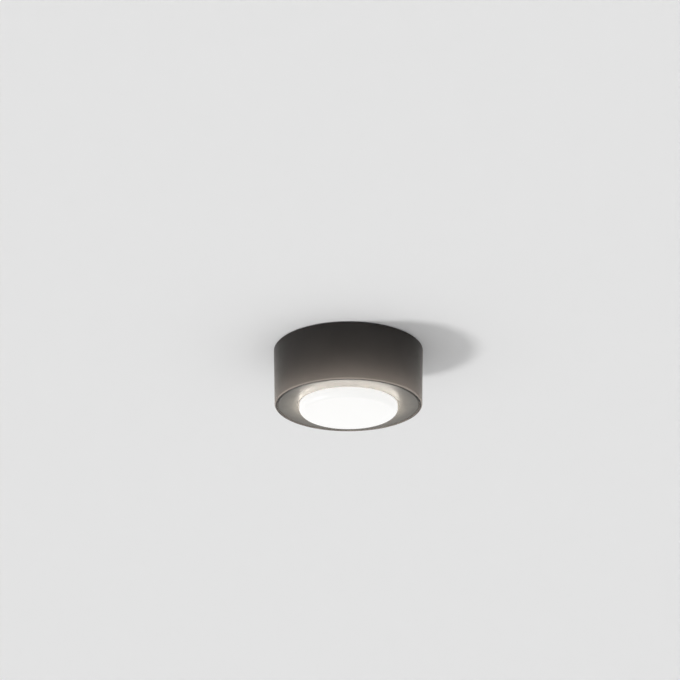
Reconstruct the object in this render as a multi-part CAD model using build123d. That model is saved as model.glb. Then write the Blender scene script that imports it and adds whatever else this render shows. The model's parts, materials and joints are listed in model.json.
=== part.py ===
from build123d import *
import os
from math import radians, sqrt, tan

# Round surface-mounted ceiling spotlight with a twist-in disc lamp. Millimetres.
# The origin is the centre of the face that lies on the ceiling. +Z points up into the ceiling,
# the light shines down, and the side seen from the room is the -Y side.

# Lamp, outside
LAMP_DIAMETER = 74.5
LAMP_DISC_HEIGHT = 15.0        # from the seat against the holder down to the lit front
LAMP_PROTRUSION = 6.6          # the lit front stands this far below the housing's lower edge
LAMP_SHELL = 1.65
LAMP_SHOULDER = 2.0            # chamfer between the seat and the side
PIN_INSET = 10.75              # pin axis in from the lamp's side
PIN_NECK_DIAMETER = 3.2
PIN_HEAD_DIAMETER = 5.0
PIN_HEAD_HEIGHT = 3.0
TWIST_ANGLE = 20.0             # turn that brings the pins from the locked place to the release holes
BOSS_INSET = 9.5               # boss side in from the pin axes
BOSS_HEIGHT = 9.8
BOSS_EDGE_RADIUS = 2.0

# Lamp, diffuser
DIFFUSER_HEIGHT = 7.5          # its lit side reaches up past the front ring's face
DIFFUSER_EDGE_RADIUS = 4.2
DIFFUSER_CROWN = 0.5           # the middle of the front stands this far below its edge
DIFFUSER_WALL = 1.5
DIFFUSER_SPIGOT_WALL = 1.2
DIFFUSER_SPIGOT_HEIGHT = 1.2

# Lamp, inside
LAMP_FIT = 0.2                 # radial gap of the pieces that drop into the lamp's shell
HEAT_SINK_WALL = 1.5
HEAT_SINK_RIM = 2.3
HEAT_SINK_DROP = 2.95          # underside of the seat to the heat sink's plate
HEAT_SINK_HOLE = 12.0
LED_BOARD_INSET = 2.1          # board edge in from the shell's inside
LED_BOARD_THICKNESS = 1.2
LED_WIDTH = 2.8
LED_LENGTH = 3.5
LED_HEIGHT = 0.7
LED_EDGE_MARGIN = 8.0          # outer circle of chips in from the board's edge
LED_CIRCLE_STEP = 12.0
LED_COUNTS = (16, 8)           # chips on the outer and on the inner circle
LAMP_SCREW_ANGLES = (90, 210, 330)
LAMP_SCREW_INSET = 6.0         # screw axes in from the outer circle of chips
LAMP_COLUMN_DIAMETER = 6.0
DRIVER_BOARD_THICKNESS = 1.6
DRIVER_BOARD_DROP = 2.2        # inside of the boss top to the board
CAPACITOR_DIAMETER = 6.3
CAPACITOR_LENGTH = 5.4
CAPACITOR_OFFSET = 7.5
CAPACITOR_EDGE_RADIUS = 0.6
CHOKE_DIAMETER = 8.0
CHOKE_WAIST = 5.6
CHOKE_HEIGHT = 4.6
CHOKE_FLANGE = 1.0
DRIVER_CHIP_LENGTH = 5.0
DRIVER_CHIP_WIDTH = 4.0
DRIVER_CHIP_HEIGHT = 1.6
DRIVER_CHIP_OFFSET = 8.0
LED_LEAD_DIAMETER = 1.0
LED_LEAD_OFFSET = 2.2

# Front ring
LAMP_GAP = 0.75                # between the lamp's side and the ring's opening
RING_WIDTH = 15.4
RING_THICKNESS = 2.0
RING_RECESS = 0.3              # face above the housing's lower edge
RING_GAP = 0.4                 # shadow gap between the ring and the housing
RING_EDGE_RADIUS = 0.7
RING_OPENING_RADIUS = 0.6      # rounding of the opening's lower edge
RING_COLLAR_WALL = 1.2
RING_COLLAR_HEIGHT = 4.2
RING_BOSS_DIAMETER = 6.0
RING_BOSS_HEIGHT = 3.7

# Housing
HOUSING_WALL = 2.0
HOUSING_DRAFT = 1.2            # the radius grows by this much from the lower edge to the ceiling
HOUSING_TOP_GAP = 0.3          # upper edge below the ceiling
HOUSING_EDGE_RADIUS = 1.2
HOUSING_INNER_EDGE_RADIUS = 0.4
HOUSING_TOP_EDGE_RADIUS = 0.3
EAR_THICKNESS = 3.0
EAR_WIDTH = 9.0
EAR_ANGLES = (90, 210, 330)
CLIP_GROOVE_DEPTH = 0.6
CLIP_GROOVE_HEIGHT = 3.6

# Ceiling plate
PLATE_THICKNESS = 1.5
PLATE_GAP = 0.6                # rim in from the housing's inside at the ceiling
DISH_MARGIN = 3.5              # flat of the dish outside the grommet's flange
DISH_DEPTH = 1.8
DISH_SLOPE = 2.0
SLOT_SPACING = 84.0            # between the slots' centres
SLOT_LENGTH = 10.0
SLOT_WIDTH = 4.6

# Cable grommet
GROMMET_BORE = 8.0
GROMMET_NECK_DIAMETER = 18.0
GROMMET_FLANGE_DIAMETER = 23.0
GROMMET_UPPER_FLANGE = 1.4
GROMMET_LOWER_FLANGE = 2.0
GROMMET_EDGE_RADIUS = 0.6

# Spring clips that hold the housing
CLIP_ANGLES = (30, 150, 270)
CLIP_THICKNESS = 0.5
CLIP_WIDTH = 9.0
CLIP_FOOT_INSET = 2.0          # bend in from the plate's rim
CLIP_FOOT_LENGTH = 11.4
CLIP_KINK_DROP = 10.5          # plate to the kink's tip
CLIP_KINK_RISE = 4.0           # kink's tip to its start and to its end
CLIP_KINK_GAP = 0.25           # kink's corners to the bottom of the groove
CLIP_BEND_RADIUS = 0.8
CLIP_RIVET_INSET = 7.4         # rivet axis in from the clip's bend
RIVET_DIAMETER = 3.0
RIVET_HEAD_DIAMETER = 5.4
RIVET_HEAD_HEIGHT = 1.2

# Lamp holder
HOLDER_INSET = 2.25            # side in from the lamp's side
HOLDER_HEIGHT = 13.8
HOLDER_COVER_THICKNESS = 2.5
HOLDER_FLOOR = 2.6
HOLDER_WALL = 2.0
HOLDER_EDGE_RADIUS = 0.8
SEAT_GAP = 0.2                 # between the holder and the lamp's seat
BOSS_GAP = 1.0                 # between the lamp's boss and the holder
PIN_GAP = 0.25                 # on each side of a pin's neck in its slot
RELEASE_HOLE_GAP = 0.4         # around a pin's head in its release hole
HEAD_GAP = 0.2                 # between a pin's head and the floor or the contact
CONTACT_THICKNESS = 0.5
CONTACT_HEIGHT = 6.5
CONTACT_SPAN = (-28.0, 24.0)   # angles about the locked pin
CONTACT_TAB_WIDTH = 4.0
ENTRY_ANGLE = 18.0             # lead entry, about the locked pin
ENTRY_GAP = 0.5                # around the lead

# Posts between the plate and the lamp holder
POST_ANGLES = (45, 225)
POST_ACROSS_FLATS = 5.5
POST_SPIGOT_DIAMETER = 4.2
SPIGOT_RECESS = 0.3            # spigot's and rivets' upper ends below the ceiling face
HOLDER_COLUMN_DIAMETER = 8.4
HOLDER_COUNTERBORE_DIAMETER = 6.4
HOLDER_COUNTERBORE_DEPTH = 3.0
POST_THREAD_DEPTH = 9.0
POST_SCREW_GRIP = 7.0

# Terminal block
POLE_PITCH = 7.5
TERMINAL_END_WALL = 0.75
TERMINAL_DEPTH = 18.0
TERMINAL_HEIGHT = 14.0
TERMINAL_DISH_GAP = 3.0        # inner face out from the plate's dish
TERMINAL_EDGE_RADIUS = 0.8
WIRE_DROP = 5.0                # wire axes below the plate
MAINS_HOLE_DIAMETER = 3.8
LEAD_HOLE_DIAMETER = 2.8
CLAMP_WIDTH = 5.0
CLAMP_LENGTH = 11.0
CLAMP_HEIGHT = 4.5
CLAMP_WALL = 0.5
CLAMP_GAP = 0.1
TERMINAL_FOOT_DIAMETER = 7.0
TERMINAL_FOOT_THICKNESS = 3.0
TERMINAL_FOOT_REACH = 3.0      # foot screw axis out from the block's end
BUTTON_DIAMETER = 4.0
BUTTON_PROTRUSION = 1.4
BUTTON_OFFSET = 4.0            # button axes from the block's middle, towards the mains side
BUTTON_GUIDE = 2.3
BUTTON_FLANGE_DIAMETER = 5.0
BUTTON_FLANGE_HEIGHT = 0.8
BUTTON_GAP = 0.08
BUTTON_EDGE_RADIUS = 0.4
WIRING_CLEARANCE = 5.7         # between the buttons and the lamp holder

# Earth terminal
EARTH_INSET = 15.5             # screw axis in from the plate's rim
EARTH_ANGLE = 134.0
EARTH_LUG_DIRECTION = 58.0     # angle of the lug's barrel
EARTH_LUG_THICKNESS = 0.8
EARTH_LUG_DIAMETER = 8.4
EARTH_LUG_REACH = 6.5          # screw axis to the barrel
EARTH_BARREL_LENGTH = 5.0
EARTH_BARREL_DIAMETER = 3.4
EARTH_WASHER_DIAMETER = 8.0
EARTH_WASHER_THICKNESS = 0.8

# Leads
LEAD_DIAMETER = 2.0
LEAD_STRAIGHT = 4.0            # straight stretch out of the terminal block
LEAD_DROP = 4.3                # straight stretch down into the lamp holder's cover
BEND_SHARE = 0.45              # share of the shorter run that each bend takes up
LEAD_CONTACT_GAP = 0.1         # lead's end to the contact, the clamp or the lug that it meets

# Screws
M3_DIAMETER = 2.9
M3_HOLE = 3.4
M3_THREAD_HOLE = 3.0
M3_HEAD_DIAMETER = 5.5
M3_HEAD_HEIGHT = 2.0
M4_DIAMETER = 3.9
M4_THREAD_HOLE = 4.0
M4_HOLE = 4.3
M4_HEAD_DIAMETER = 7.6
M4_HEAD_HEIGHT = 2.4
RING_SCREW_GRIP = 3.0
LAMP_SCREW_GRIP = 3.6
RECESS_SHARE = 0.6             # cross recess length, as a share of a screw head's diameter
RECESS_WIDTH = 0.7
RECESS_DEPTH = 1.1

# Heights, from the ceiling down
PLATE_BOTTOM = -PLATE_THICKNESS
HOLDER_TOP = PLATE_BOTTOM - TERMINAL_HEIGHT - BUTTON_PROTRUSION - WIRING_CLEARANCE
HOLDER_BOTTOM = HOLDER_TOP - HOLDER_HEIGHT
HOLDER_SPLIT = HOLDER_TOP - HOLDER_COVER_THICKNESS
HOLDER_FLOOR_TOP = HOLDER_BOTTOM + HOLDER_FLOOR
LAMP_SEAT = HOLDER_BOTTOM - SEAT_GAP
LAMP_FRONT = LAMP_SEAT - LAMP_DISC_HEIGHT
DIFFUSER_TOP = LAMP_FRONT + DIFFUSER_HEIGHT
HOUSING_BOTTOM = LAMP_FRONT + LAMP_PROTRUSION
RING_FACE = HOUSING_BOTTOM + RING_RECESS
RING_BACK = RING_FACE + RING_THICKNESS
EAR_BOTTOM = RING_BACK + RING_BOSS_HEIGHT
EAR_TOP = EAR_BOTTOM + EAR_THICKNESS
SEAT_UNDERSIDE = LAMP_SEAT - LAMP_SHELL
HEAT_SINK_TOP = SEAT_UNDERSIDE - HEAT_SINK_DROP
HEAT_SINK_BOTTOM = HEAT_SINK_TOP - HEAT_SINK_WALL
LED_BOARD_BOTTOM = HEAT_SINK_BOTTOM - LED_BOARD_THICKNESS
BOSS_TOP = LAMP_SEAT + BOSS_HEIGHT
DRIVER_BOARD_TOP = BOSS_TOP - LAMP_SHELL - DRIVER_BOARD_DROP
DRIVER_BOARD_BOTTOM = DRIVER_BOARD_TOP - DRIVER_BOARD_THICKNESS
PIN_HEAD_BOTTOM = HOLDER_FLOOR_TOP + HEAD_GAP
CONTACT_TOP = HOLDER_FLOOR_TOP + CONTACT_HEIGHT
COUNTERBORE_TOP = HOLDER_BOTTOM + HOLDER_COUNTERBORE_DEPTH
WIRE_HEIGHT = PLATE_BOTTOM - WIRE_DROP
TERMINAL_BOTTOM = PLATE_BOTTOM - TERMINAL_HEIGHT
CLAMP_CAVITY_BOTTOM = WIRE_HEIGHT - CLAMP_HEIGHT / 2 - CLAMP_GAP
CLIP_KINK_HEIGHT = PLATE_BOTTOM - CLIP_KINK_DROP
SPIGOT_TOP = -SPIGOT_RECESS

# Radii, from the lamp outwards
LAMP_RADIUS = LAMP_DIAMETER / 2
SHELL_INSIDE = LAMP_RADIUS - LAMP_SHELL
PIN_RADIUS = LAMP_RADIUS - PIN_INSET
BOSS_RADIUS = PIN_RADIUS - BOSS_INSET
LED_BOARD_RADIUS = SHELL_INSIDE - LED_BOARD_INSET
LED_CIRCLE = LED_BOARD_RADIUS - LED_EDGE_MARGIN
LAMP_SCREW_RADIUS = LED_CIRCLE - LAMP_SCREW_INSET
HOLDER_RADIUS = LAMP_RADIUS - HOLDER_INSET
HOLDER_HOLE_RADIUS = BOSS_RADIUS + BOSS_GAP
CONTACT_RADIUS = PIN_RADIUS + PIN_HEAD_DIAMETER / 2 + HEAD_GAP + CONTACT_THICKNESS / 2
RING_OPENING = LAMP_RADIUS + LAMP_GAP
RING_RADIUS = RING_OPENING + RING_WIDTH
RING_BOSS_RADIUS = (RING_OPENING + RING_COLLAR_WALL + RING_RADIUS) / 2
HOUSING_MOUTH = RING_RADIUS + RING_GAP
HOUSING_SLOPE = HOUSING_DRAFT / -HOUSING_BOTTOM
GROOVE_RADIUS = HOUSING_MOUTH + HOUSING_DRAFT + HOUSING_SLOPE * CLIP_KINK_HEIGHT + CLIP_GROOVE_DEPTH
PLATE_RADIUS = HOUSING_MOUTH + HOUSING_DRAFT - PLATE_GAP
SLOT_RADIUS = SLOT_SPACING / 2
DISH_FLAT = GROMMET_FLANGE_DIAMETER / 2 + DISH_MARGIN
DISH_RADIUS = DISH_FLAT + DISH_SLOPE
CLIP_BEND = PLATE_RADIUS - CLIP_FOOT_INSET
CLIP_RIVET_RADIUS = CLIP_BEND - CLIP_RIVET_INSET
TERMINAL_MIDDLE = DISH_RADIUS + TERMINAL_DISH_GAP + TERMINAL_DEPTH / 2
TERMINAL_OUTER_FACE = TERMINAL_MIDDLE + TERMINAL_DEPTH / 2
EARTH_RADIUS = PLATE_RADIUS - EARTH_INSET
LEAD_START = TERMINAL_MIDDLE + CLAMP_LENGTH / 2 + LEAD_CONTACT_GAP

# Place of the earth screw, turned along the lug's barrel
EARTH_PLACE = Rot(0, 0, EARTH_ANGLE) * Pos(EARTH_RADIUS, 0, 0) * Rot(0, 0, EARTH_LUG_DIRECTION - EARTH_ANGLE)
EARTH_BARREL_HEIGHT = PLATE_BOTTOM - EARTH_BARREL_DIAMETER / 2

# Angles of things that come in opposite pairs
OPPOSITE = (0, 180)

# Poles of the terminal block, from -X to +X
POLES = ("earth", "neutral", "live")
TERMINAL_LENGTH = len(POLES) * POLE_PITCH + 2 * TERMINAL_END_WALL
TERMINAL_FOOT = TERMINAL_LENGTH / 2 + TERMINAL_FOOT_REACH


def turned(*corners):
    """Turn an outline about Z. A corner is (radius, height) or (radius, height, rounding)."""
    outline = make_face(Polyline([corner[:2] for corner in corners], close=True))
    for corner in corners:
        if len(corner) == 3:
            vertex = outline.vertices().sort_by_distance(Vector(*corner[:2]))[0]
            outline = fillet(vertex, corner[2])
    return revolve(Plane.XZ * outline, Axis.Z)


def disc(diameter, bottom, top):
    """Upright cylinder on the axis between two heights."""
    return Pos(0, 0, (bottom + top) / 2) * Cylinder(diameter / 2, top - bottom)


def slab(length, width, bottom, top):
    """Upright box on the axis between two heights."""
    return Pos(0, 0, (bottom + top) / 2) * Box(length, width, top - bottom)


def along_y(diameter, start, end):
    """Cylinder along Y at the height of the wires, between two places."""
    return Pos(0, (start + end) / 2, WIRE_HEIGHT) * (Rot(90, 0, 0) * Cylinder(diameter / 2, end - start))


def around(radius, angles, shape):
    """Copies of a shape on a circle about Z, each turned to face outwards."""
    return [Rot(0, 0, angle) * (Pos(radius, 0, 0) * shape) for angle in angles]


def group(shapes):
    """Separate solids of one kind, as one piece of the model."""
    return Compound(children=list(shapes))


def screw(diameter, length, head_diameter, head_height):
    """Pan-head screw that points down, with its head's seat at height 0."""
    radius = head_diameter / 2
    head = turned((0, 0), (radius, 0), (radius, head_height, head_height / 2), (0, head_height))
    recess_length = head_diameter * RECESS_SHARE
    recess = slab(recess_length, RECESS_WIDTH, head_height - RECESS_DEPTH, head_height)
    shank = disc(diameter, -length, 0)
    return head + shank - recess - Rot(0, 0, 90) * recess


def m3_screw(length):
    """Pan-head screw of 3 mm thread."""
    return screw(M3_DIAMETER, length, M3_HEAD_DIAMETER, M3_HEAD_HEIGHT)


def upside_down(shape):
    """The same shape pointing up."""
    return Rot(180, 0, 0) * shape


def lead(points):
    """Insulated wire along straight runs joined by arcs as large as the runs allow."""
    route = [Vector(*point) for point in points]
    radii = []
    for before, corner, after in zip(route, route[1:], route[2:]):
        run_in = corner - before
        run_out = after - corner
        shorter = min(run_in.length, run_out.length)
        radii.append(BEND_SHARE * shorter / tan(radians(run_in.get_angle(run_out) / 2)))
    print("lead radii", [round(radius, 1) for radius in radii])
    path = FilletPolyline(*route, radius=radii)
    section = Plane(origin=path @ 0, z_dir=path % 0) * Circle(LEAD_DIAMETER / 2)
    return sweep(section, path=path)


def pole_x(name):
    """Place of a pole along the terminal block."""
    return (POLES.index(name) - 1) * POLE_PITCH


def make_ceiling_plate():
    """Pressed steel disc with a dish for the grommet, screw slots and fixing holes."""
    hole = GROMMET_NECK_DIAMETER / 2
    plate = turned(
        (hole, -DISH_DEPTH),
        (DISH_FLAT, -DISH_DEPTH),
        (DISH_RADIUS, 0),
        (PLATE_RADIUS, 0),
        (PLATE_RADIUS, PLATE_BOTTOM),
        (DISH_RADIUS, PLATE_BOTTOM),
        (DISH_FLAT, PLATE_BOTTOM - DISH_DEPTH),
        (hole, PLATE_BOTTOM - DISH_DEPTH),
    )
    slot = Pos(0, 0, PLATE_BOTTOM) * extrude(SlotOverall(SLOT_LENGTH, SLOT_WIDTH), PLATE_THICKNESS)
    plate -= around(SLOT_RADIUS, OPPOSITE, slot)
    plate -= around(PIN_RADIUS, POST_ANGLES, disc(POST_SPIGOT_DIAMETER, PLATE_BOTTOM, 0))
    plate -= around(CLIP_RIVET_RADIUS, CLIP_ANGLES, disc(RIVET_DIAMETER, PLATE_BOTTOM, 0))
    plate -= around(EARTH_RADIUS, (EARTH_ANGLE,), disc(M4_THREAD_HOLE, PLATE_BOTTOM, 0))
    for side in (-1, 1):
        plate -= Pos(side * TERMINAL_FOOT, TERMINAL_MIDDLE, 0) * disc(M3_THREAD_HOLE, PLATE_BOTTOM, 0)
    return plate


def make_cable_grommet():
    """Rubber bush with a flange on each side of the plate's dish."""
    bore = GROMMET_BORE / 2
    neck = GROMMET_NECK_DIAMETER / 2
    flange = GROMMET_FLANGE_DIAMETER / 2
    top = -DISH_DEPTH + GROMMET_UPPER_FLANGE
    bottom = PLATE_BOTTOM - DISH_DEPTH - GROMMET_LOWER_FLANGE
    return turned(
        (bore, top),
        (flange, top, GROMMET_EDGE_RADIUS),
        (flange, -DISH_DEPTH),
        (neck, -DISH_DEPTH),
        (neck, PLATE_BOTTOM - DISH_DEPTH),
        (flange, PLATE_BOTTOM - DISH_DEPTH),
        (flange, bottom, GROMMET_EDGE_RADIUS),
        (bore, bottom),
    )


def make_spring_clips():
    """Steel strips that hang from the plate, with a kink that springs into the housing's groove."""
    tip = sqrt((GROOVE_RADIUS - CLIP_KINK_GAP) ** 2 - (CLIP_WIDTH / 2) ** 2) - CLIP_THICKNESS / 2
    foot = PLATE_BOTTOM - CLIP_THICKNESS / 2
    line = FilletPolyline(
        (CLIP_BEND - CLIP_FOOT_LENGTH, foot),
        (CLIP_BEND, foot),
        (CLIP_BEND, CLIP_KINK_HEIGHT + CLIP_KINK_RISE),
        (tip, CLIP_KINK_HEIGHT),
        (CLIP_BEND, CLIP_KINK_HEIGHT - CLIP_KINK_RISE),
        radius=CLIP_BEND_RADIUS,
    )
    strip = extrude(Plane.XZ * trace(line, CLIP_THICKNESS), CLIP_WIDTH / 2, both=True)
    hole = Pos(CLIP_RIVET_RADIUS, 0, 0) * disc(RIVET_DIAMETER, PLATE_BOTTOM - CLIP_THICKNESS, PLATE_BOTTOM)
    return group(around(0, CLIP_ANGLES, strip - hole))


def make_clip_rivets():
    """Rivets that fasten the clips to the plate."""
    seat = PLATE_BOTTOM - CLIP_THICKNESS
    head = RIVET_HEAD_DIAMETER / 2
    rivet = turned(
        (0, SPIGOT_TOP),
        (RIVET_DIAMETER / 2, SPIGOT_TOP),
        (RIVET_DIAMETER / 2, seat),
        (head, seat),
        (head, seat - RIVET_HEAD_HEIGHT, RIVET_HEAD_HEIGHT / 2),
        (0, seat - RIVET_HEAD_HEIGHT),
    )
    return group(around(CLIP_RIVET_RADIUS, CLIP_ANGLES, rivet))


def make_holder_posts():
    """Hexagonal spacers that are pressed into the plate and carry the lamp holder."""
    hexagon = RegularPolygon(POST_ACROSS_FLATS / 2, 6, major_radius=False)
    post = Pos(0, 0, HOLDER_TOP) * extrude(hexagon, PLATE_BOTTOM - HOLDER_TOP)
    post += disc(POST_SPIGOT_DIAMETER, PLATE_BOTTOM, SPIGOT_TOP)
    post -= disc(M3_THREAD_HOLE, HOLDER_TOP, HOLDER_TOP + POST_THREAD_DEPTH)
    return group(around(PIN_RADIUS, POST_ANGLES, post))


def make_holder_screws():
    """Screws that go up through the lamp holder into the posts."""
    long_screw = upside_down(m3_screw(HOLDER_TOP - COUNTERBORE_TOP + POST_SCREW_GRIP))
    return group(around(PIN_RADIUS, POST_ANGLES, Pos(0, 0, COUNTERBORE_TOP) * long_screw))


def make_lamp_holder_body():
    """Insulating tray with keyhole slots for the lamp's pins."""
    inner_tube = HOLDER_HOLE_RADIUS + HOLDER_WALL
    body = turned(
        (HOLDER_HOLE_RADIUS, HOLDER_SPLIT),
        (HOLDER_HOLE_RADIUS, HOLDER_BOTTOM),
        (HOLDER_RADIUS, HOLDER_BOTTOM, HOLDER_EDGE_RADIUS),
        (HOLDER_RADIUS, HOLDER_SPLIT),
        (HOLDER_RADIUS - HOLDER_WALL, HOLDER_SPLIT),
        (HOLDER_RADIUS - HOLDER_WALL, HOLDER_FLOOR_TOP),
        (inner_tube, HOLDER_FLOOR_TOP),
        (inner_tube, HOLDER_SPLIT),
    )
    body += around(PIN_RADIUS, POST_ANGLES, disc(HOLDER_COLUMN_DIAMETER, HOLDER_BOTTOM, HOLDER_SPLIT))
    counterbore = disc(HOLDER_COUNTERBORE_DIAMETER, HOLDER_BOTTOM, COUNTERBORE_TOP)
    body -= around(PIN_RADIUS, POST_ANGLES, counterbore + disc(M3_HOLE, HOLDER_BOTTOM, HOLDER_SPLIT))
    track = SlotArc(CenterArc((0, 0), PIN_RADIUS, 0, -TWIST_ANGLE), PIN_NECK_DIAMETER + 2 * PIN_GAP)
    keyhole = Pos(0, 0, HOLDER_BOTTOM) * extrude(track, HOLDER_FLOOR)
    release = disc(PIN_HEAD_DIAMETER + 2 * RELEASE_HOLE_GAP, HOLDER_BOTTOM, HOLDER_FLOOR_TOP)
    keyhole += around(PIN_RADIUS, (-TWIST_ANGLE,), release)
    return body - around(0, OPPOSITE, keyhole)


def make_lamp_holder_cover():
    """Insulating lid over the holder's contacts, with the two lead entries."""
    cover = turned(
        (HOLDER_HOLE_RADIUS, HOLDER_TOP),
        (HOLDER_HOLE_RADIUS, HOLDER_SPLIT),
        (HOLDER_RADIUS, HOLDER_SPLIT),
        (HOLDER_RADIUS, HOLDER_TOP, HOLDER_EDGE_RADIUS),
    )
    cover -= around(PIN_RADIUS, POST_ANGLES, disc(M3_HOLE, HOLDER_SPLIT, HOLDER_TOP))
    entry = disc(LEAD_DIAMETER + 2 * ENTRY_GAP, HOLDER_SPLIT, HOLDER_TOP)
    return cover - around(PIN_RADIUS, (ENTRY_ANGLE, ENTRY_ANGLE + 180), entry)


def make_holder_contacts():
    """Brass strips that follow the path of the lamp's pins, each with a tab under its lead."""
    start, end = CONTACT_SPAN
    arc = trace(CenterArc((0, 0), CONTACT_RADIUS, start, end - start), CONTACT_THICKNESS)
    blade = Pos(0, 0, HOLDER_FLOOR_TOP) * extrude(arc, CONTACT_HEIGHT)
    tab_start = PIN_RADIUS - CONTACT_TAB_WIDTH / 2
    tab_length = CONTACT_RADIUS - tab_start
    tab = slab(tab_length, CONTACT_TAB_WIDTH, CONTACT_TOP - CONTACT_THICKNESS, CONTACT_TOP)
    contact = blade + around(tab_start + tab_length / 2, (ENTRY_ANGLE,), tab)
    return group(around(0, OPPOSITE, contact))


def make_terminal_block():
    """Push-in block with mains holes on its inner side and lead holes on its outer side."""
    block = slab(TERMINAL_LENGTH, TERMINAL_DEPTH, TERMINAL_BOTTOM, PLATE_BOTTOM)
    block = fillet(block.edges().filter_by(Axis.Z), TERMINAL_EDGE_RADIUS)
    block = fillet(block.faces().sort_by(Axis.Z)[0].edges(), TERMINAL_EDGE_RADIUS)
    foot_bottom = PLATE_BOTTOM - TERMINAL_FOOT_THICKNESS
    for side in (-1, 1):
        foot = disc(TERMINAL_FOOT_DIAMETER, foot_bottom, PLATE_BOTTOM)
        web = slab(TERMINAL_FOOT_REACH, TERMINAL_FOOT_DIAMETER, foot_bottom, PLATE_BOTTOM)
        block += Pos(side * TERMINAL_FOOT, 0, 0) * foot
        block += Pos(side * (TERMINAL_FOOT - TERMINAL_FOOT_REACH / 2), 0, 0) * web
        block -= Pos(side * TERMINAL_FOOT, 0, 0) * disc(M3_HOLE, foot_bottom, PLATE_BOTTOM)
    cavity_width = CLAMP_WIDTH + 2 * CLAMP_GAP
    cavity_length = CLAMP_LENGTH + 2 * CLAMP_GAP
    cavity = slab(cavity_width, cavity_length, CLAMP_CAVITY_BOTTOM, PLATE_BOTTOM)
    mains_hole = along_y(MAINS_HOLE_DIAMETER, -TERMINAL_DEPTH / 2, 0)
    lead_hole = along_y(LEAD_HOLE_DIAMETER, 0, TERMINAL_DEPTH / 2)
    guide = disc(BUTTON_DIAMETER + 2 * BUTTON_GAP, TERMINAL_BOTTOM, CLAMP_CAVITY_BOTTOM)
    chamber_bottom = TERMINAL_BOTTOM + BUTTON_GUIDE
    chamber = disc(BUTTON_FLANGE_DIAMETER + 2 * BUTTON_GAP, chamber_bottom, CLAMP_CAVITY_BOTTOM)
    pole = cavity + mains_hole + lead_hole + Pos(0, -BUTTON_OFFSET, 0) * (guide + chamber)
    block -= [Pos(pole_x(name), 0, 0) * pole for name in POLES]
    return Pos(0, TERMINAL_MIDDLE, 0) * block


def make_terminal_clamps():
    """Metal cages that grip the wires in the terminal block."""
    outside = Box(CLAMP_WIDTH, CLAMP_LENGTH, CLAMP_HEIGHT)
    inside = Box(CLAMP_WIDTH - 2 * CLAMP_WALL, CLAMP_LENGTH, CLAMP_HEIGHT - 2 * CLAMP_WALL)
    cage = outside - inside
    return group(Pos(pole_x(name), TERMINAL_MIDDLE, WIRE_HEIGHT) * cage for name in POLES)


def make_terminal_screws():
    """Screws through the terminal block's feet into the plate."""
    seat = PLATE_BOTTOM - TERMINAL_FOOT_THICKNESS
    short_screw = upside_down(m3_screw(SPIGOT_TOP - seat))
    return group(Pos(side * TERMINAL_FOOT, TERMINAL_MIDDLE, seat) * short_screw for side in (-1, 1))


def make_release_button(name):
    """Push button that opens one pole's clamp. A flange keeps it in the block."""
    flange_bottom = TERMINAL_BOTTOM + BUTTON_GUIDE + BUTTON_GAP
    flange_top = flange_bottom + BUTTON_FLANGE_HEIGHT
    button = turned(
        (0, TERMINAL_BOTTOM - BUTTON_PROTRUSION),
        (BUTTON_DIAMETER / 2, TERMINAL_BOTTOM - BUTTON_PROTRUSION, BUTTON_EDGE_RADIUS),
        (BUTTON_DIAMETER / 2, flange_bottom),
        (BUTTON_FLANGE_DIAMETER / 2, flange_bottom),
        (BUTTON_FLANGE_DIAMETER / 2, flange_top),
        (0, flange_top),
    )
    return Pos(pole_x(name), TERMINAL_MIDDLE - BUTTON_OFFSET, 0) * button


def make_earth_screw():
    """Screw up into the plate that clamps the earth lug and its washer."""
    seat = PLATE_BOTTOM - EARTH_LUG_THICKNESS - EARTH_WASHER_THICKNESS
    earth_screw = upside_down(screw(M4_DIAMETER, SPIGOT_TOP - seat, M4_HEAD_DIAMETER, M4_HEAD_HEIGHT))
    return EARTH_PLACE * (Pos(0, 0, seat) * earth_screw)


def make_earth_washer():
    """Washer between the earth screw's head and the lug."""
    top = PLATE_BOTTOM - EARTH_LUG_THICKNESS
    bottom = top - EARTH_WASHER_THICKNESS
    return EARTH_PLACE * (disc(EARTH_WASHER_DIAMETER, bottom, top) - disc(M4_HOLE, bottom, top))


def make_earth_lug():
    """Ring lug with a crimped barrel."""
    bottom = PLATE_BOTTOM - EARTH_LUG_THICKNESS
    eye = disc(EARTH_LUG_DIAMETER, bottom, PLATE_BOTTOM)
    tongue_length = EARTH_LUG_REACH + EARTH_BARREL_LENGTH / 2
    tongue = Pos(tongue_length / 2, 0, 0) * slab(tongue_length, EARTH_BARREL_DIAMETER, bottom, PLATE_BOTTOM)
    barrel = Rot(0, 90, 0) * Cylinder(EARTH_BARREL_DIAMETER / 2, EARTH_BARREL_LENGTH)
    barrel = Pos(EARTH_LUG_REACH + EARTH_BARREL_LENGTH / 2, 0, EARTH_BARREL_HEIGHT) * barrel
    lug = eye + tongue + barrel - disc(M4_HOLE, bottom, PLATE_BOTTOM)
    return EARTH_PLACE * lug


def make_earth_lead():
    """Wire from the terminal block's earth pole to the lug."""
    barrel_end = EARTH_LUG_REACH + EARTH_BARREL_LENGTH + LEAD_CONTACT_GAP
    x = pole_x("earth")
    return lead(
        [
            (x, LEAD_START, WIRE_HEIGHT),
            (x, TERMINAL_OUTER_FACE + LEAD_STRAIGHT, WIRE_HEIGHT),
            (-9.5, 45.0, -6.0),
            (-13.5, 46.0, -5.0),
            (EARTH_PLACE * Pos(barrel_end + 3.5, 0, EARTH_BARREL_HEIGHT)).position,
            (EARTH_PLACE * Pos(barrel_end, 0, EARTH_BARREL_HEIGHT)).position,
        ]
    )


def entry_point(angle, height):
    """Point on the axis of one of the lamp holder's lead entries."""
    return (Rot(0, 0, angle) * Pos(PIN_RADIUS, 0, height)).position


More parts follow.
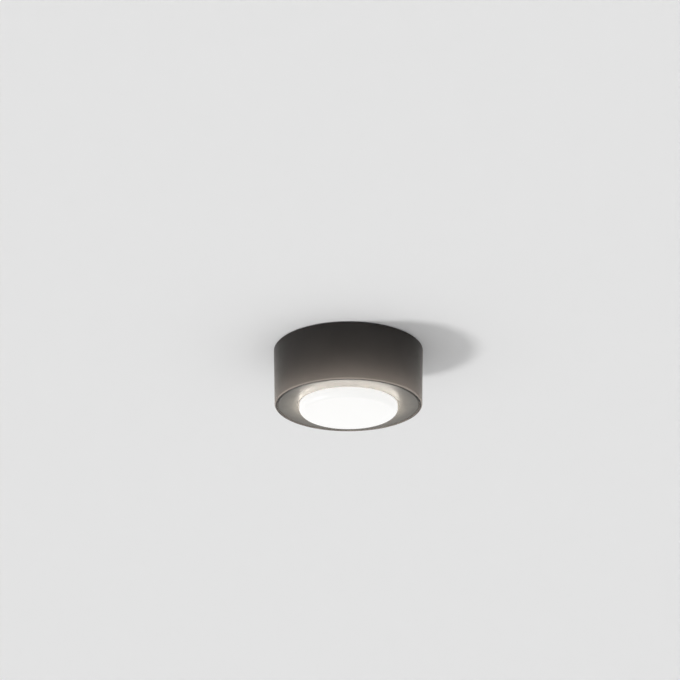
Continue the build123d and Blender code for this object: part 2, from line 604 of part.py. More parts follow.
def make_live_lead():
    """Wire from the live pole round to the lamp holder's first entry."""
    x = pole_x("live")
    return lead(
        [
            (x, LEAD_START, WIRE_HEIGHT),
            (x, TERMINAL_OUTER_FACE + LEAD_STRAIGHT, WIRE_HEIGHT),
            (11.5, 44.5, -7.0),
            (19.0, 41.5, -8.5),
            (26.0, 33.5, -11.0),
            (30.0, 23.5, -13.5),
            (29.5, 14.0, -16.0),
            entry_point(ENTRY_ANGLE, HOLDER_TOP + LEAD_DROP),
            entry_point(ENTRY_ANGLE, CONTACT_TOP + LEAD_CONTACT_GAP),
        ]
    )


def make_neutral_lead():
    """Wire from the neutral pole round to the lamp holder's second entry."""
    return lead(
        [
            (0, LEAD_START, WIRE_HEIGHT),
            (0, TERMINAL_OUTER_FACE + LEAD_STRAIGHT, WIRE_HEIGHT),
            (-4.0, 46.0, -8.5),
            (-13.0, 45.0, -10.5),
            (-22.5, 39.0, -12.0),
            (-30.0, 28.5, -13.5),
            (-33.0, 15.5, -15.0),
            (-32.0, 3.0, -16.3),
            entry_point(ENTRY_ANGLE + 180, HOLDER_TOP + LEAD_DROP),
            entry_point(ENTRY_ANGLE + 180, CONTACT_TOP + LEAD_CONTACT_GAP),
        ]
    )


def housing_inside(height):
    """Inside radius of the housing at a height."""
    return HOUSING_MOUTH + HOUSING_DRAFT + HOUSING_SLOPE * height


def make_housing():
    """Painted drum that widens towards the ceiling, with a clip groove and ears for the ring's screws."""
    top = -HOUSING_TOP_GAP
    groove_top = CLIP_KINK_HEIGHT + CLIP_GROOVE_HEIGHT / 2
    groove_bottom = CLIP_KINK_HEIGHT - CLIP_GROOVE_HEIGHT / 2
    housing = turned(
        (housing_inside(top), top),
        (housing_inside(top) + HOUSING_WALL, top, HOUSING_TOP_EDGE_RADIUS),
        (HOUSING_MOUTH + HOUSING_WALL, HOUSING_BOTTOM, HOUSING_EDGE_RADIUS),
        (HOUSING_MOUTH, HOUSING_BOTTOM, HOUSING_INNER_EDGE_RADIUS),
        (housing_inside(groove_bottom), groove_bottom),
        (GROOVE_RADIUS, groove_bottom),
        (GROOVE_RADIUS, groove_top),
        (housing_inside(groove_top), groove_top),
    )
    middle_of_wall = housing_inside(EAR_BOTTOM) + HOUSING_WALL / 2
    reach = middle_of_wall - RING_BOSS_RADIUS
    ear = disc(EAR_WIDTH, EAR_BOTTOM, EAR_TOP)
    ear += Pos(reach / 2, 0, 0) * slab(reach, EAR_WIDTH, EAR_BOTTOM, EAR_TOP)
    ears = around(RING_BOSS_RADIUS, EAR_ANGLES, ear)
    inside = disc(2 * middle_of_wall, EAR_BOTTOM, EAR_TOP)
    housing += [shape & inside for shape in ears]
    return housing - around(RING_BOSS_RADIUS, EAR_ANGLES, disc(M3_HOLE, EAR_BOTTOM, EAR_TOP))


def make_front_ring():
    """Flat painted ring round the lamp, with a light-tight collar and screw bosses behind it."""
    collar = RING_OPENING + RING_COLLAR_WALL
    ring = turned(
        (RING_OPENING, RING_BACK + RING_COLLAR_HEIGHT),
        (RING_OPENING, RING_FACE, RING_OPENING_RADIUS),
        (RING_RADIUS, RING_FACE, RING_EDGE_RADIUS),
        (RING_RADIUS, RING_BACK),
        (collar, RING_BACK),
        (collar, RING_BACK + RING_COLLAR_HEIGHT),
    )
    ring += around(RING_BOSS_RADIUS, EAR_ANGLES, disc(RING_BOSS_DIAMETER, RING_BACK, EAR_BOTTOM))
    thread_bottom = EAR_BOTTOM - RING_SCREW_GRIP
    return ring - around(RING_BOSS_RADIUS, EAR_ANGLES, disc(M3_THREAD_HOLE, thread_bottom, EAR_BOTTOM))


def make_ring_screws():
    """Screws from inside the housing through its ears into the front ring."""
    ear_screw = Pos(0, 0, EAR_TOP) * m3_screw(EAR_THICKNESS + RING_SCREW_GRIP)
    return group(around(RING_BOSS_RADIUS, EAR_ANGLES, ear_screw))


def make_lamp_base():
    """White moulded shell with the seat, the boss and columns for the heat sink's screws."""
    boss_inside = BOSS_RADIUS - LAMP_SHELL
    base = turned(
        (0, BOSS_TOP),
        (BOSS_RADIUS, BOSS_TOP, BOSS_EDGE_RADIUS),
        (BOSS_RADIUS, LAMP_SEAT),
        (LAMP_RADIUS - LAMP_SHOULDER, LAMP_SEAT),
        (LAMP_RADIUS, LAMP_SEAT - LAMP_SHOULDER),
        (LAMP_RADIUS, DIFFUSER_TOP),
        (SHELL_INSIDE, DIFFUSER_TOP),
        (SHELL_INSIDE, SEAT_UNDERSIDE - LAMP_SHOULDER),
        (SHELL_INSIDE - LAMP_SHOULDER, SEAT_UNDERSIDE),
        (boss_inside, SEAT_UNDERSIDE),
        (boss_inside, BOSS_TOP - LAMP_SHELL),
        (0, BOSS_TOP - LAMP_SHELL),
    )
    base += around(LAMP_SCREW_RADIUS, LAMP_SCREW_ANGLES, disc(LAMP_COLUMN_DIAMETER, HEAT_SINK_TOP, LAMP_SEAT))
    thread_top = HEAT_SINK_TOP + LAMP_SCREW_GRIP
    base -= around(LAMP_SCREW_RADIUS, LAMP_SCREW_ANGLES, disc(M3_THREAD_HOLE, HEAT_SINK_TOP, thread_top))
    return base - around(PIN_RADIUS, OPPOSITE, disc(PIN_NECK_DIAMETER, SEAT_UNDERSIDE, LAMP_SEAT))


def make_lamp_pins():
    """Brass mushroom pins that lock and feed the lamp."""
    head_top = PIN_HEAD_BOTTOM + PIN_HEAD_HEIGHT
    pin = turned(
        (0, SEAT_UNDERSIDE),
        (PIN_NECK_DIAMETER / 2, SEAT_UNDERSIDE),
        (PIN_NECK_DIAMETER / 2, PIN_HEAD_BOTTOM),
        (PIN_HEAD_DIAMETER / 2, PIN_HEAD_BOTTOM),
        (PIN_HEAD_DIAMETER / 2, head_top, PIN_HEAD_HEIGHT / 4),
        (0, head_top),
    )
    return group(around(PIN_RADIUS, OPPOSITE, pin))


def make_heat_sink():
    """Pressed aluminium pan that carries the chip board."""
    outside = SHELL_INSIDE - LAMP_FIT
    rim_top = HEAT_SINK_BOTTOM + HEAT_SINK_RIM
    pan = turned(
        (HEAT_SINK_HOLE / 2, HEAT_SINK_BOTTOM),
        (outside, HEAT_SINK_BOTTOM),
        (outside, rim_top),
        (outside - HEAT_SINK_WALL, rim_top),
        (outside - HEAT_SINK_WALL, HEAT_SINK_TOP),
        (HEAT_SINK_HOLE / 2, HEAT_SINK_TOP),
    )
    return pan - around(LAMP_SCREW_RADIUS, LAMP_SCREW_ANGLES, disc(M3_HOLE, HEAT_SINK_BOTTOM, HEAT_SINK_TOP))


def make_led_board():
    """Aluminium-backed disc board."""
    board = disc(2 * LED_BOARD_RADIUS, LED_BOARD_BOTTOM, HEAT_SINK_BOTTOM)
    board -= around(LAMP_SCREW_RADIUS, LAMP_SCREW_ANGLES, disc(M3_HOLE, LED_BOARD_BOTTOM, HEAT_SINK_BOTTOM))
    hole = disc(LED_LEAD_DIAMETER + 2 * LAMP_FIT, LED_BOARD_BOTTOM, HEAT_SINK_BOTTOM)
    return board - around(LED_LEAD_OFFSET, OPPOSITE, hole)


def make_led_chips():
    """Light-emitting chips on two circles under the board."""
    chip = slab(LED_LENGTH, LED_WIDTH, LED_BOARD_BOTTOM - LED_HEIGHT, LED_BOARD_BOTTOM)
    chips = []
    for index, count in enumerate(LED_COUNTS):
        angles = [360 * (number + 0.5) / count for number in range(count)]
        chips += around(LED_CIRCLE - index * LED_CIRCLE_STEP, angles, chip)
    return group(chips)


def make_lamp_screws():
    """Screws through the chip board and the heat sink into the lamp's columns."""
    grip = HEAT_SINK_TOP - LED_BOARD_BOTTOM + LAMP_SCREW_GRIP
    board_screw = Pos(0, 0, LED_BOARD_BOTTOM) * upside_down(m3_screw(grip))
    return group(around(LAMP_SCREW_RADIUS, LAMP_SCREW_ANGLES, board_screw))


def dome(radius, front, edge, top):
    """Disc with a crowned front below and a round edge."""
    face = TangentArc((0, front), (radius - edge, front + DIFFUSER_CROWN), tangent=(1, 0))
    rim = TangentArc(face @ 1, (radius, front + DIFFUSER_CROWN + edge), tangent=face % 1)
    back = Polyline(rim @ 1, (radius, top), (0, top), (0, front))
    return revolve(Plane.XZ * make_face([face, rim, back]), Axis.Z)


def make_diffuser():
    """Opal cup with a spigot that snaps into the lamp's shell."""
    outside = dome(LAMP_RADIUS, LAMP_FRONT, DIFFUSER_EDGE_RADIUS, DIFFUSER_TOP)
    inside = dome(
        LAMP_RADIUS - DIFFUSER_WALL,
        LAMP_FRONT + DIFFUSER_WALL,
        DIFFUSER_EDGE_RADIUS - DIFFUSER_WALL,
        DIFFUSER_TOP,
    )
    spigot_outside = SHELL_INSIDE - LAMP_FIT
    spigot_inside = spigot_outside - DIFFUSER_SPIGOT_WALL
    spigot_top = DIFFUSER_TOP + DIFFUSER_SPIGOT_HEIGHT
    spigot = turned(
        (spigot_inside, DIFFUSER_TOP - DIFFUSER_WALL),
        (spigot_inside, spigot_top),
        (spigot_outside, spigot_top),
        (spigot_outside, DIFFUSER_TOP),
        (LAMP_RADIUS - DIFFUSER_WALL / 2, DIFFUSER_TOP),
        (LAMP_RADIUS - DIFFUSER_WALL / 2, DIFFUSER_TOP - DIFFUSER_WALL),
    )
    return outside - inside + spigot


def make_driver_board():
    """Round board of the lamp's driver, in the boss."""
    return disc(2 * (BOSS_RADIUS - LAMP_SHELL - LAMP_FIT), DRIVER_BOARD_BOTTOM, DRIVER_BOARD_TOP)


def make_driver_capacitor():
    """Smoothing capacitor under the driver board."""
    radius = CAPACITOR_DIAMETER / 2
    bottom = DRIVER_BOARD_BOTTOM - CAPACITOR_LENGTH
    can = turned(
        (0, DRIVER_BOARD_BOTTOM),
        (radius, DRIVER_BOARD_BOTTOM),
        (radius, bottom, CAPACITOR_EDGE_RADIUS),
        (0, bottom),
    )
    return Pos(-CAPACITOR_OFFSET, 0, 0) * can


def make_driver_choke():
    """Drum-core choke under the driver board."""
    flange = CHOKE_DIAMETER / 2
    waist = CHOKE_WAIST / 2
    bottom = DRIVER_BOARD_BOTTOM - CHOKE_HEIGHT
    drum = turned(
        (0, DRIVER_BOARD_BOTTOM),
        (flange, DRIVER_BOARD_BOTTOM),
        (flange, DRIVER_BOARD_BOTTOM - CHOKE_FLANGE),
        (waist, DRIVER_BOARD_BOTTOM - CHOKE_FLANGE),
        (waist, bottom + CHOKE_FLANGE),
        (flange, bottom + CHOKE_FLANGE),
        (flange, bottom),
        (0, bottom),
    )
    return Pos(CAPACITOR_OFFSET, 0, 0) * drum


def make_driver_chips():
    """Rectifier and control chip under the driver board."""
    bottom = DRIVER_BOARD_BOTTOM - DRIVER_CHIP_HEIGHT
    chip = slab(DRIVER_CHIP_WIDTH, DRIVER_CHIP_LENGTH, bottom, DRIVER_BOARD_BOTTOM)
    return group(around(DRIVER_CHIP_OFFSET, (90, 270), chip))


def make_led_leads():
    """Stiff wires from the driver board down to the chip board."""
    wire = disc(LED_LEAD_DIAMETER, LED_BOARD_BOTTOM, DRIVER_BOARD_BOTTOM)
    return group(around(LED_LEAD_OFFSET, OPPOSITE, wire))


pieces = {
    "ceiling_plate": make_ceiling_plate(),
    "cable_grommet": make_cable_grommet(),
    "spring_clips": make_spring_clips(),
    "clip_rivets": make_clip_rivets(),
    "holder_posts": make_holder_posts(),
    "holder_screws": make_holder_screws(),
    "lamp_holder_body": make_lamp_holder_body(),
    "lamp_holder_cover": make_lamp_holder_cover(),
    "holder_contacts": make_holder_contacts(),
    "terminal_block": make_terminal_block(),
    "terminal_clamps": make_terminal_clamps(),
    "terminal_screws": make_terminal_screws(),
    "earth_screw": make_earth_screw(),
    "earth_washer": make_earth_washer(),
    "earth_lug": make_earth_lug(),
    "earth_lead": make_earth_lead(),
    "live_lead": make_live_lead(),
    "neutral_lead": make_neutral_lead(),
    "housing": make_housing(),
    "front_ring": make_front_ring(),
    "ring_screws": make_ring_screws(),
    "lamp_base": make_lamp_base(),
    "lamp_pins": make_lamp_pins(),
    "heat_sink": make_heat_sink(),
    "led_board": make_led_board(),
    "led_chips": make_led_chips(),
    "lamp_screws": make_lamp_screws(),
    "diffuser": make_diffuser(),
    "driver_board": make_driver_board(),
    "driver_capacitor": make_driver_capacitor(),
    "driver_choke": make_driver_choke(),
    "driver_chips": make_driver_chips(),
    "led_leads": make_led_leads(),
}
for pole in POLES:
    pieces["release_button_" + pole] = make_release_button(pole)

os.makedirs("parts", exist_ok=True)
for node, shape in pieces.items():
    export_step(shape, "parts/" + node + ".step")
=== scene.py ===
import json
import math
import bpy
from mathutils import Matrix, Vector


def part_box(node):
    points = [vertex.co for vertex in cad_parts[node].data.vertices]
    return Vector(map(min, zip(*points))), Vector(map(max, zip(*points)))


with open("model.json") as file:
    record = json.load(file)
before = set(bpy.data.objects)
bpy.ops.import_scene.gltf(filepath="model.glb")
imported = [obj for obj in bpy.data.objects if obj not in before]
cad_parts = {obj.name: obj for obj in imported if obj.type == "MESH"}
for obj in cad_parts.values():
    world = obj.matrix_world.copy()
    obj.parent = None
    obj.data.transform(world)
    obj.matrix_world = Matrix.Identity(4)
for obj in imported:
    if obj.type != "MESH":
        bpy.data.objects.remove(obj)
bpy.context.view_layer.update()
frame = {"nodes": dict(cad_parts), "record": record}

nodes = frame["nodes"]
scene = bpy.context.scene
MM = 0.001
CENTRE = (0.0, 0.0, 0.0)
WHITE = (1.0, 1.0, 1.0)

# Camera, fitted to the outlines in the photograph
IMAGE_WIDTH_PX = 680
FOCAL_LENGTH_PX = 1961.3
SENSOR_WIDTH_MM = 36.0
CAMERA_DISTANCE = 1.500           # from the centre of the ceiling face
CAMERA_SIDE = -0.0064
CAMERA_ELEVATION = math.radians(22.676)
CAMERA_PITCH = math.radians(22.999)

# Stage: the ceiling that the light hangs from, and a floor far below for views from above
CEILING_GAP = 0.2 * MM
CEILING_OPEN = 3 * CEILING_GAP    # shorter rays pass through the ceiling
FLOOR_DEPTH = 1.6
STAGE_HALF = 6.0
STAGE_COLOR = (0.8, 0.8, 0.8)
STAGE_ROUGHNESS = 0.9
STAGE_SPECULAR = 0.1

# Suns
KEY_PLACE = (-0.95, 0.03, -1.0)
KEY_STRENGTH = 1.24
KEY_ANGLE = math.radians(12)
OVERHEAD_PLACE = (0.0, 0.0, 1.0)
OVERHEAD_STRENGTH = 0.95
OVERHEAD_ANGLE = math.radians(25)

# Warm glow of the lit lamp on the lower part of the drum and on the ring round the lamp
DRUM_GLOW_LIFT = 0.04 * MM        # above the drum's lower edge
DRUM_GLOW_RADIUS = 1.95           # in radii of the lamp
DRUM_GLOW_POWER = 0.7
DRUM_GLOW_COLOR = (1.0, 0.9, 0.79)
RING_GLOW_LIFT = 1.9 * MM         # above the diffuser's front
RING_GLOW_POWER = 0.41
RING_GLOW_COLOR = (1.0, 0.93, 0.83)

# World: soft light all round, and as pale as the stage where it shows or mirrors
WORLD_LIGHT = 0.33
WORLD_SHOWN = 0.76

# Range that the noise mostly stays in
NOISE_LOW = 0.3
NOISE_HIGH = 0.7

# Colour sockets of the Mix node, by number because their names repeat
MIX_FIRST = 6
MIX_SECOND = 7
MIX_RESULT = 2

# Rubbed edges: cosine between the rounded and the true normal on a flat and on an edge
FLAT_COSINE = 0.995
EDGE_COSINE = 0.9
EDGE_SAMPLES = 6
RUBBED_SHARE = 0.45
RUBBED_TONE = 2.2

SHEEN_ROUGHNESS = 0.33
FRONT_GLOW = 0.92                 # of the glow on the diffuser's side


# Node helpers


def add(tree, kind, **settings):
    """New node with its attributes set."""
    node = tree.nodes.new("ShaderNode" + kind)
    for key, value in settings.items():
        setattr(node, key, value)
    return node


def set_values(node, values):
    """Numbers or colours for some of a node's sockets."""
    for socket, value in values.items():
        node.inputs[socket].default_value = value


def new_material(name):
    """Material with an empty node tree but for its output and a principled shader."""
    material = bpy.data.materials.new(name)
    material.use_nodes = True
    tree = material.node_tree
    tree.nodes.clear()
    shader = add(tree, "BsdfPrincipled")
    output = add(tree, "OutputMaterial")
    tree.links.new(shader.outputs["BSDF"], output.inputs["Surface"])
    return material, tree, shader


def object_coordinates(tree):
    """Object coordinates, which are the frame's metres."""
    return add(tree, "TexCoord").outputs["Object"]


def noise(tree, feature, detail=4.0, roughness=0.55, vector=None):
    """Noise whose largest features measure the given length in metres."""
    if vector is None:
        vector = object_coordinates(tree)
    node = add(tree, "TexNoise")
    set_values(node, {"Scale": 1.0 / feature, "Detail": detail, "Roughness": roughness})
    tree.links.new(vector, node.inputs["Vector"])
    return node.outputs["Fac"]


def spread(tree, value, low, high, from_low=NOISE_LOW, from_high=NOISE_HIGH):
    """The value's usual range mapped to another one."""
    node = add(tree, "MapRange")
    set_values(node, {"From Min": from_low, "From Max": from_high, "To Min": low, "To Max": high})
    tree.links.new(value, node.inputs["Value"])
    return node.outputs["Result"]


def patches(tree, feature, low=0.0, high=1.0, detail=4.0):
    """Soft patches of a size, between two values."""
    return spread(tree, noise(tree, feature, detail), low, high)


def blend_colors(tree, factor, first, second):
    """Mix of two colours, each a tuple or a socket."""
    node = add(tree, "Mix", data_type="RGBA")
    tree.links.new(factor, node.inputs["Factor"])
    for socket, color in ((MIX_FIRST, first), (MIX_SECOND, second)):
        if isinstance(color, tuple):
            node.inputs[socket].default_value = (*color, 1.0)
        else:
            tree.links.new(color, node.inputs[socket])
    return node.outputs[MIX_RESULT]


def mix_shaders(tree, factor, first, second):
    """The first shader where the factor is 0, and the second where it is 1."""
    node = add(tree, "MixShader")
    for socket, value in enumerate((factor, first, second)):
        tree.links.new(value, node.inputs[socket])
    return node.outputs["Shader"]


def either(tree, first, *others):
    """1 where one of the masks is 1."""
    for other in others:
        node = add(tree, "Math", operation="MAXIMUM")
        tree.links.new(first, node.inputs[0])
        tree.links.new(other, node.inputs[1])
        first = node.outputs["Value"]
    return first


def bump(tree, shader, height, depth):
    """Relief of the given depth in metres."""
    node = add(tree, "Bump")
    set_values(node, {"Strength": 1.0, "Distance": depth})
    tree.links.new(height, node.inputs["Height"])
    tree.links.new(node.outputs["Normal"], shader.inputs["Normal"])


def edge_mask(tree, radius):
    """1 near the edges of the shape and 0 on its flats."""
    bevel = add(tree, "Bevel", samples=EDGE_SAMPLES)
    bevel.inputs["Radius"].default_value = radius
    geometry = add(tree, "NewGeometry")
    dot = add(tree, "VectorMath", operation="DOT_PRODUCT")
    tree.links.new(bevel.outputs["Normal"], dot.inputs[0])
    tree.links.new(geometry.outputs["Normal"], dot.inputs[1])
    return spread(tree, dot.outputs["Value"], 0.0, 1.0, FLAT_COSINE, EDGE_COSINE)


def scaled(color, factor):
    """Lighter or deeper tone of a colour."""
    return tuple(min(1.0, channel * factor) for channel in color)


def tint(tree, shader, first, second, feature):
    """Base colour that drifts between two tones in patches of a size."""
    tree.links.new(blend_colors(tree, patches(tree, feature), first, second), shader.inputs["Base Color"])


def vary_roughness(tree, shader, roughness, change, feature):
    """Roughness that goes up and down by a change in patches of a size."""
    tree.links.new(
        patches(tree, feature, roughness - change, roughness + change), shader.inputs["Roughness"]
    )


# Kinds of finish


def powder_coat(name, color, light_color, roughness, specular, peel, sheen=0.0):
    """Satin powder coat: orange peel of a depth, drifts of tone, slightly rubbed edges, a faint sheen."""
    material, tree, shader = new_material(name)
    drift = patches(tree, feature=30 * MM, detail=3.0)
    base = blend_colors(tree, drift, color, light_color)
    rubbed = add(tree, "Math", operation="MULTIPLY")
    tree.links.new(edge_mask(tree, radius=0.5 * MM), rubbed.inputs[0])
    tree.links.new(patches(tree, feature=4 * MM, high=RUBBED_SHARE), rubbed.inputs[1])
    worn = blend_colors(tree, rubbed.outputs["Value"], base, scaled(light_color, RUBBED_TONE))
    tree.links.new(worn, shader.inputs["Base Color"])
    vary_roughness(tree, shader, roughness, change=0.04, feature=6 * MM)
    set_values(shader, {"Sheen Weight": sheen, "Sheen Roughness": SHEEN_ROUGHNESS})
    shader.inputs["Specular IOR Level"].default_value = specular
    bump(tree, shader, noise(tree, feature=0.7 * MM, detail=2.0), depth=peel)
    return material


def moulded_plastic(name, color, roughness):
    """Moulded plastic with a fine spark-eroded grain and faint flow marks."""
    material, tree, shader = new_material(name)
    tint(tree, shader, scaled(color, factor=0.93), color, feature=14 * MM)
    vary_roughness(tree, shader, roughness, change=0.05, feature=5 * MM)
    set_values(shader, {"Subsurface Weight": 0.1, "Subsurface Scale": 0.6 * MM})
    bump(tree, shader, noise(tree, feature=0.35 * MM, detail=2.0), depth=0.01 * MM)
    return material


def plated_metal(name, color, patch_color, roughness, streaks=(1.0, 1.0, 1.0)):
    """Plated or bare metal with a soft patchy tint and fine marks."""
    material, tree, shader = new_material(name)
    tint(tree, shader, color, patch_color, feature=5 * MM)
    shader.inputs["Metallic"].default_value = 1.0
    mapping = add(tree, "Mapping")
    mapping.inputs["Scale"].default_value = streaks
    tree.links.new(object_coordinates(tree), mapping.inputs["Vector"])
    marks = noise(tree, feature=0.5 * MM, detail=2.0, roughness=0.5, vector=mapping.outputs["Vector"])
    gloss = spread(tree, marks, low=roughness - 0.05, high=roughness + 0.07)
    tree.links.new(gloss, shader.inputs["Roughness"])
    bump(tree, shader, marks, depth=0.0006 * MM)
    return material


def galvanised_sheet(name, dark, light):
    """Zinc-coated sheet with its crystal spangle."""
    material, tree, shader = new_material(name)
    cells = add(tree, "TexVoronoi", feature="F1")
    cells.inputs["Scale"].default_value = 1.0 / (4 * MM)
    tree.links.new(object_coordinates(tree), cells.inputs["Vector"])
    shade = add(tree, "SeparateColor")
    tree.links.new(cells.outputs["Color"], shade.inputs["Color"])
    tree.links.new(blend_colors(tree, shade.outputs["Red"], dark, light), shader.inputs["Base Color"])
    shader.inputs["Metallic"].default_value = 1.0
    gloss = spread(tree, shade.outputs["Green"], low=0.32, high=0.52, from_low=0.0, from_high=1.0)
    tree.links.new(gloss, shader.inputs["Roughness"])
    bump(tree, shader, noise(tree, feature=1.2 * MM), depth=0.01 * MM)
    return material


def rubber(name, color, bloom):
    """Matt moulded rubber with a little bloom."""
    material, tree, shader = new_material(name)
    tint(tree, shader, color, bloom, feature=4 * MM)
    shader.inputs["Roughness"].default_value = 0.75
    bump(tree, shader, noise(tree, feature=0.5 * MM), depth=0.02 * MM)
    return material


def sleeving(name, color, stripe=None):
    """Extruded wire insulation, plain or with two stripes along the wire."""
    material, tree, shader = new_material(name)
    base = blend_colors(tree, patches(tree, feature=3 * MM), scaled(color, factor=0.8), color)
    if stripe:
        normal = add(tree, "SeparateXYZ")
        tree.links.new(add(tree, "TexCoord").outputs["Normal"], normal.inputs["Vector"])
        upright = add(tree, "Math", operation="ABSOLUTE")
        tree.links.new(normal.outputs["Z"], upright.inputs[0])
        striped = spread(tree, upright.outputs["Value"], low=0.0, high=1.0, from_low=0.55, from_high=0.62)
        base = blend_colors(tree, striped, base, stripe)
    tree.links.new(base, shader.inputs["Base Color"])
    vary_roughness(tree, shader, roughness=0.4, change=0.06, feature=2 * MM)
    bump(tree, shader, noise(tree, feature=0.6 * MM), depth=0.008 * MM)
    return material


def opal_diffuser(name, color, glow_color, strength):
    """Opal plastic lit from behind, a touch brighter round its side than on its front."""
    material, tree, shader = new_material(name)
    set_values(shader, {"Base Color": (*color, 1.0), "Emission Strength": strength})
    place = add(tree, "SeparateXYZ")
    tree.links.new(object_coordinates(tree), place.inputs["Vector"])
    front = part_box("diffuser")[0][2]
    side = spread(
        tree, place.outputs["Z"], low=0.0, high=1.0, from_low=front + 1 * MM, from_high=front + 4 * MM
    )
    glow = blend_colors(tree, side, scaled(glow_color, FRONT_GLOW), glow_color)
    tree.links.new(glow, shader.inputs["Emission Color"])
    vary_roughness(tree, shader, roughness=0.4, change=0.04, feature=3 * MM)
    bump(tree, shader, noise(tree, feature=0.5 * MM), depth=0.006 * MM)
    return material


def circuit_board(name, color, trace):
    """Board with solder mask over a faint pattern of tracks."""
    material, tree, shader = new_material(name)
    tracks = add(tree, "TexBrick")
    set_values(tracks, {"Scale": 1.0 / (6 * MM), "Mortar Size": 0.04})
    tree.links.new(object_coordinates(tree), tracks.inputs["Vector"])
    tree.links.new(blend_colors(tree, tracks.outputs["Fac"], color, trace), shader.inputs["Base Color"])
    shader.inputs["Roughness"].default_value = 0.35
    bump(tree, shader, tracks.outputs["Fac"], depth=0.03 * MM)
    return material


# Finish of each material slot in the record

ZINC = {"color": (0.62, 0.63, 0.62), "patch_color": (0.7, 0.69, 0.6)}

finishes = {
    "housing_paint": (powder_coat, {
        "color": (0.0235, 0.0221, 0.0215), "light_color": (0.027, 0.0255, 0.0248),
        "roughness": 0.42, "specular": 0.08, "peel": 0.012 * MM, "sheen": 0.04,
    }),
    "ring_paint": (powder_coat, {
        "color": (0.08, 0.076, 0.0695), "light_color": (0.088, 0.084, 0.0765),
        "roughness": 0.37, "specular": 0.25, "peel": 0.003 * MM,
    }),
    "plate_steel": (galvanised_sheet, {"dark": (0.5, 0.52, 0.54), "light": (0.64, 0.66, 0.68)}),
    "spring_steel": (plated_metal, {
        "color": (0.5, 0.5, 0.52), "patch_color": (0.58, 0.57, 0.55),
        "roughness": 0.28, "streaks": (1.0, 1.0, 0.1),
    }),
    "screw_steel": (plated_metal, {**ZINC, "roughness": 0.3}),
    "post_steel": (plated_metal, {**ZINC, "roughness": 0.34, "streaks": (0.2, 0.2, 1.0)}),
    "grommet_rubber": (rubber, {"color": (0.018, 0.018, 0.018), "bloom": (0.048, 0.048, 0.048)}),
    "holder_plastic": (moulded_plastic, {"color": (0.74, 0.71, 0.63), "roughness": 0.45}),
    "terminal_plastic": (moulded_plastic, {"color": (0.62, 0.63, 0.64), "roughness": 0.42}),
    "button_orange": (moulded_plastic, {"color": (0.78, 0.2, 0.02), "roughness": 0.35}),
    "contact_brass": (plated_metal, {
        "color": (0.72, 0.5, 0.19), "patch_color": (0.8, 0.6, 0.28), "roughness": 0.28,
    }),
    "lug_tin": (plated_metal, {
        "color": (0.68, 0.67, 0.64), "patch_color": (0.6, 0.6, 0.58), "roughness": 0.36,
    }),
    "earth_insulation": (sleeving, {"color": (0.62, 0.55, 0.03), "stripe": (0.02, 0.22, 0.03)}),
    "live_insulation": (sleeving, {"color": (0.17, 0.06, 0.022)}),
    "neutral_insulation": (sleeving, {"color": (0.02, 0.1, 0.42)}),
    "lamp_plastic": (moulded_plastic, {"color": (0.82, 0.82, 0.8), "roughness": 0.4}),
    "heat_sink_aluminium": (plated_metal, {
        "color": (0.74, 0.75, 0.76), "patch_color": (0.68, 0.69, 0.71), "roughness": 0.34,
    }),
    "board_white": (circuit_board, {"color": (0.82, 0.82, 0.8), "trace": (0.7, 0.7, 0.68)}),
    "chip_phosphor": (moulded_plastic, {"color": (0.8, 0.6, 0.1), "roughness": 0.3}),
    "diffuser_opal": (opal_diffuser, {
        "color": (0.16, 0.16, 0.158), "glow_color": (1.0, 0.995, 0.98), "strength": 0.82,
    }),
    "board_green": (circuit_board, {"color": (0.02, 0.16, 0.05), "trace": (0.05, 0.26, 0.09)}),
    "component_black": (moulded_plastic, {"color": (0.02, 0.02, 0.022), "roughness": 0.35}),
    "choke_ferrite": (moulded_plastic, {"color": (0.06, 0.06, 0.065), "roughness": 0.6}),
}
materials = {slot: kind(slot, **values) for slot, (kind, values) in finishes.items()}

# The CAD pieces keep their shapes and take these finishes
for subpart in frame["record"]["subparts"]:
    mesh = nodes[subpart["node"]].data
    mesh.materials.clear()
    mesh.materials.append(materials[subpart["material_slot"]])


# Stage


def flat_stage(name, height, faces_down):
    """Square plane that isn't part of the object."""
    low, high = -STAGE_HALF, STAGE_HALF
    corners = [(low, low, height), (high, low, height), (high, high, height), (low, high, height)]
    mesh = bpy.data.meshes.new(name)
    mesh.from_pydata(corners, [], [(3, 2, 1, 0) if faces_down else (0, 1, 2, 3)])
    plane = bpy.data.objects.new(name, mesh)
    scene.collection.objects.link(plane)
    return plane


def stage_material(name, open_nearer_than=0.0):
    """Matt white, and open to shadow rays and to what comes from behind or from very near."""
    material, tree, shader = new_material(name)
    set_values(shader, {"Base Color": (*STAGE_COLOR, 1.0), "Roughness": STAGE_ROUGHNESS})
    shader.inputs["Specular IOR Level"].default_value = STAGE_SPECULAR
    path = add(tree, "LightPath")
    near = add(tree, "Math", operation="LESS_THAN")
    tree.links.new(path.outputs["Ray Length"], near.inputs[0])
    near.inputs[1].default_value = open_nearer_than
    behind = add(tree, "NewGeometry").outputs["Backfacing"]
    open_ways = either(tree, near.outputs["Value"], path.outputs["Is Shadow Ray"], behind)
    clear = add(tree, "BsdfTransparent").outputs["BSDF"]
    surface = mix_shaders(tree, open_ways, shader.outputs["BSDF"], clear)
    output = next(node for node in tree.nodes if node.type == "OUTPUT_MATERIAL")
    tree.links.new(surface, output.inputs["Surface"])
    return material


ceiling = flat_stage("stage_ceiling", CEILING_GAP, faces_down=True)
ceiling.data.materials.append(stage_material("stage_ceiling", CEILING_OPEN))
floor = flat_stage("stage_floor", -FLOOR_DEPTH, faces_down=False)
floor.data.materials.append(stage_material("stage_floor"))


# Light


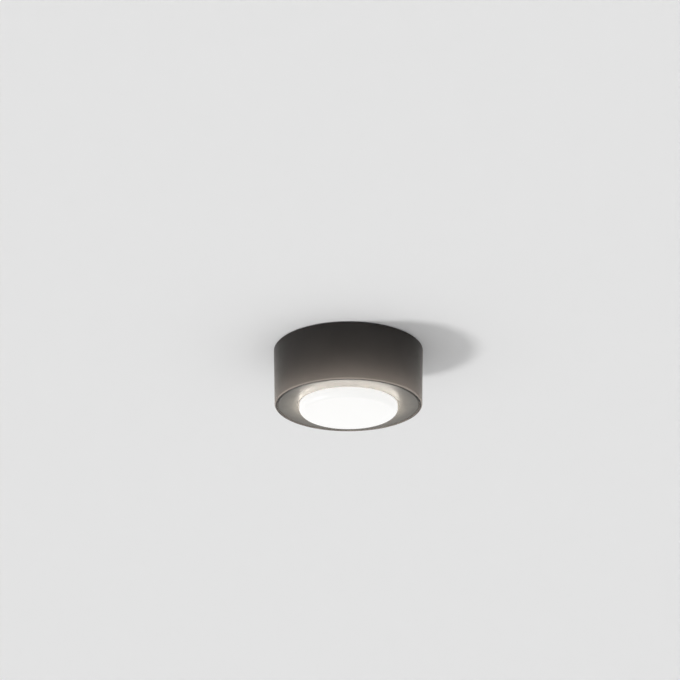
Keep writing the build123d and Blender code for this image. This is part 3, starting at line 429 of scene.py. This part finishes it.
def add_light(name, kind, place, target, energy, color=WHITE):
    """Light of a kind at a place, aimed at a target."""
    light = bpy.data.objects.new(name, bpy.data.lights.new(name, kind))
    light.data.energy = energy
    light.data.color = color
    light.location = place
    aim = Vector(target) - Vector(place)
    light.rotation_euler = aim.to_track_quat("-Z", "Y").to_euler()
    scene.collection.objects.link(light)
    return light


def lamp_glow(name, height, radius, energy, color, node):
    """Disc of warm light on the drum's axis that faces up and reaches one piece alone."""
    glow = add_light(name, "AREA", (0.0, 0.0, height), (0.0, 0.0, height + 1.0), energy, color)
    glow.data.shape = "DISK"
    glow.data.size = 2 * radius
    glow.visible_camera = False
    reached = bpy.data.collections.new(name + "_reaches")
    reached.objects.link(nodes[node])
    glow.light_linking.receiver_collection = reached
    return glow


key = add_light("key", "SUN", KEY_PLACE, CENTRE, KEY_STRENGTH)
key.data.angle = KEY_ANGLE
overhead = add_light("overhead", "SUN", OVERHEAD_PLACE, CENTRE, OVERHEAD_STRENGTH)
overhead.data.angle = OVERHEAD_ANGLE

lamp_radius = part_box("diffuser")[1][0]

# The drum takes no gloss from its disc, which is far wider than the lamp
drum_glow_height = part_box("housing")[0][2] + DRUM_GLOW_LIFT
drum_glow = lamp_glow(
    "drum_glow", drum_glow_height, DRUM_GLOW_RADIUS * lamp_radius,
    DRUM_GLOW_POWER, DRUM_GLOW_COLOR, "housing",
)
drum_glow.visible_glossy = False

# The ring's disc lies inside the diffuser, which would shade it
ring_glow_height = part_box("diffuser")[0][2] + RING_GLOW_LIFT
ring_glow = lamp_glow(
    "ring_glow", ring_glow_height, lamp_radius,
    RING_GLOW_POWER, RING_GLOW_COLOR, "front_ring",
)
ring_glow.data.use_shadow = False


# World


def white_background(tree, strength):
    """White light of a strength from all round."""
    node = add(tree, "Background")
    set_values(node, {"Color": (*WHITE, 1.0), "Strength": strength})
    return node.outputs["Background"]


world = bpy.data.worlds.new("studio")
scene.world = world
world.use_nodes = True
world_tree = world.node_tree
world_tree.nodes.clear()
path = add(world_tree, "LightPath")
seen_ways = [path.outputs[way] for way in ("Is Camera Ray", "Is Glossy Ray", "Is Transmission Ray")]
sky = mix_shaders(
    world_tree,
    either(world_tree, *seen_ways),
    white_background(world_tree, WORLD_LIGHT),
    white_background(world_tree, WORLD_SHOWN),
)
world_output = add(world_tree, "OutputWorld")
world_tree.links.new(sky, world_output.inputs["Surface"])

# Camera

camera_data = bpy.data.cameras.new("camera")
camera_data.sensor_width = SENSOR_WIDTH_MM
camera_data.lens = FOCAL_LENGTH_PX * SENSOR_WIDTH_MM / IMAGE_WIDTH_PX
camera = bpy.data.objects.new("camera", camera_data)
camera.location = (
    CAMERA_SIDE,
    -CAMERA_DISTANCE * math.cos(CAMERA_ELEVATION),
    -CAMERA_DISTANCE * math.sin(CAMERA_ELEVATION),
)
camera.rotation_euler = (math.pi / 2 + CAMERA_PITCH, 0.0, 0.0)
scene.collection.objects.link(camera)
scene.camera = camera

scene.view_settings.view_transform = "Standard"
